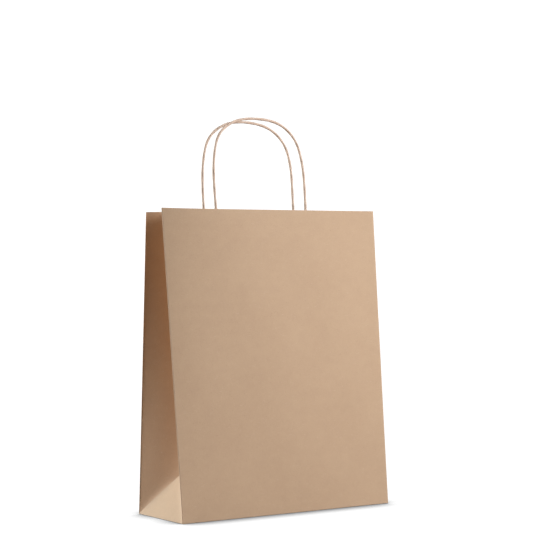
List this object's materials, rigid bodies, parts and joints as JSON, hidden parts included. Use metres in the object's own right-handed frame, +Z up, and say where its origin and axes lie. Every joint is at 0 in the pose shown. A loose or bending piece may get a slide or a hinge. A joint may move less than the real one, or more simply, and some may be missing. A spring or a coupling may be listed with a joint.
{
  "type": "gift bag",
  "caption": "Upright paper carrier for gifts, with folding side gussets, a glued block bottom and twisted paper cord handles hinged at an open mouth.",
  "frame": {"origin": "middle of the bottom face, on the surface that the bag stands on", "axes": "+Z up, +X along the width, -Y towards the front panel"},
  "size_m": [0.25, 0.09, 0.4045],
  "materials": {
    "kraft_paper": "matt machine-finished kraft",
    "handle_strip": "matt kraft",
    "handle_cord": "twisted kraft cord"
  },
  "bodies": {
    "base": {"bottom_front_flap": "kraft_paper", "bottom_back_flap": "kraft_paper", "bottom_left_flap": "kraft_paper", "bottom_right_flap": "kraft_paper", "bottom_left_front_web": "kraft_paper", "bottom_left_back_web": "kraft_paper", "bottom_right_front_web": "kraft_paper", "bottom_right_back_web": "kraft_paper"},
    "front_wall": {"front_panel": "kraft_paper", "front_handle_backing_strip": "handle_strip", "front_handle_cover_strip": "handle_strip", "front_handle_cord_tails": "handle_cord"},
    "back_wall": {"back_panel": "kraft_paper", "side_seam_lap": "kraft_paper", "rear_handle_backing_strip": "handle_strip", "rear_handle_cover_strip": "handle_strip", "rear_handle_cord_tails": "handle_cord"},
    "front_handle": {"front_handle_cord": "handle_cord"},
    "rear_handle": {"rear_handle_cord": "handle_cord"},
    "left_front_upper": {"left_front_upper_leaf": "kraft_paper"},
    "left_front_lower": {"left_front_lower_leaf": "kraft_paper"},
    "left_back_upper": {"left_back_upper_leaf": "kraft_paper"},
    "left_back_lower": {"left_back_lower_leaf": "kraft_paper"},
    "left_triangle": {"left_bottom_triangle": "kraft_paper"},
    "right_front_upper": {"right_front_upper_leaf": "kraft_paper"},
    "right_front_lower": {"right_front_lower_leaf": "kraft_paper"},
    "right_back_upper": {"right_back_upper_leaf": "kraft_paper"},
    "right_back_lower": {"right_back_lower_leaf": "kraft_paper"},
    "right_triangle": {"right_bottom_triangle": "kraft_paper"}
  },
  "joints": [
    {"name": "mouth_close", "type": "hinge", "parent": "base", "child": "front_wall", "pos_m": [0, -0.0448, 0], "axis": [-1, 0, 0], "range_deg": [-2.4, 2.2]},
    {"name": "back_panel_lean", "type": "hinge", "parent": "base", "child": "back_wall", "pos_m": [0, 0.0448, 0], "axis": [1, 0, 0], "range_deg": [-2.4, 2.2]},
    {"name": "left_front_upper_fold", "type": "hinge", "parent": "front_wall", "child": "left_front_upper", "pos_m": [-0.1248, -0.0448, 0], "axis": [0, -0.0802, -0.9968], "range_deg": [-18.59, 17.04]},
    {"name": "left_front_lower_fold", "type": "hinge", "parent": "left_front_upper", "child": "left_front_lower", "pos_m": [-0.1248, -0.0448, 0], "axis": [0.1273, 0.1419, 0.9817], "range_deg": [-18.87, 17.3]},
    {"name": "left_back_upper_fold", "type": "hinge", "parent": "back_wall", "child": "left_back_upper", "pos_m": [-0.1248, 0.0448, 0], "axis": [0, -0.0802, 0.9968], "range_deg": [-18.59, 17.04]},
    {"name": "left_back_lower_fold", "type": "hinge", "parent": "left_back_upper", "child": "left_back_lower", "pos_m": [-0.1248, 0.0448, 0], "axis": [-0.1273, 0.1419, -0.9817], "range_deg": [-18.87, 17.3]},
    {"name": "left_triangle_fold", "type": "hinge", "parent": "base", "child": "left_triangle", "pos_m": [-0.1248, 0, 0], "axis": [0, 1, 0], "range_deg": [-1.21, 1.11]},
    {"name": "right_front_upper_fold", "type": "hinge", "parent": "front_wall", "child": "right_front_upper", "pos_m": [0.1248, -0.0448, 0], "axis": [0, 0.0802, 0.9968], "range_deg": [-18.59, 17.04]},
    {"name": "right_front_lower_fold", "type": "hinge", "parent": "right_front_upper", "child": "right_front_lower", "pos_m": [0.1248, -0.0448, 0], "axis": [0.1273, -0.1419, -0.9817], "range_deg": [-18.87, 17.3]},
    {"name": "right_back_upper_fold", "type": "hinge", "parent": "back_wall", "child": "right_back_upper", "pos_m": [0.1248, 0.0448, 0], "axis": [0, 0.0802, -0.9968], "range_deg": [-18.59, 17.04]},
    {"name": "right_back_lower_fold", "type": "hinge", "parent": "right_back_upper", "child": "right_back_lower", "pos_m": [0.1248, 0.0448, 0], "axis": [-0.1273, -0.1419, 0.9817], "range_deg": [-18.87, 17.3]},
    {"name": "right_triangle_fold", "type": "hinge", "parent": "base", "child": "right_triangle", "pos_m": [0.1248, 0, 0], "axis": [0, -1, 0], "range_deg": [-1.21, 1.11]},
    {"name": "front_handle_swing", "type": "hinge", "parent": "front_wall", "child": "front_handle", "pos_m": [-0.009, -0.01803, 0.31085], "axis": [1, 0, 0], "range_deg": [-10, 85]},
    {"name": "rear_handle_swing", "type": "hinge", "parent": "back_wall", "child": "rear_handle", "pos_m": [-0.003, 0.01803, 0.31085], "axis": [-1, 0, 0], "range_deg": [-10, 78]}
  ],
  "couplings": [
    {"joint": "back_panel_lean", "follows": "mouth_close", "ratio": 1},
    {"joint": "left_front_upper_fold", "follows": "mouth_close", "ratio": 7.7356},
    {"joint": "left_front_lower_fold", "follows": "mouth_close", "ratio": 7.8548},
    {"joint": "left_back_upper_fold", "follows": "mouth_close", "ratio": 7.7356},
    {"joint": "left_back_lower_fold", "follows": "mouth_close", "ratio": 7.8548},
    {"joint": "left_triangle_fold", "follows": "mouth_close", "ratio": 0.4945},
    {"joint": "right_front_upper_fold", "follows": "mouth_close", "ratio": 7.7356},
    {"joint": "right_front_lower_fold", "follows": "mouth_close", "ratio": 7.8548},
    {"joint": "right_back_upper_fold", "follows": "mouth_close", "ratio": 7.7356},
    {"joint": "right_back_lower_fold", "follows": "mouth_close", "ratio": 7.8548},
    {"joint": "right_triangle_fold", "follows": "mouth_close", "ratio": 0.4945}
  ]
}
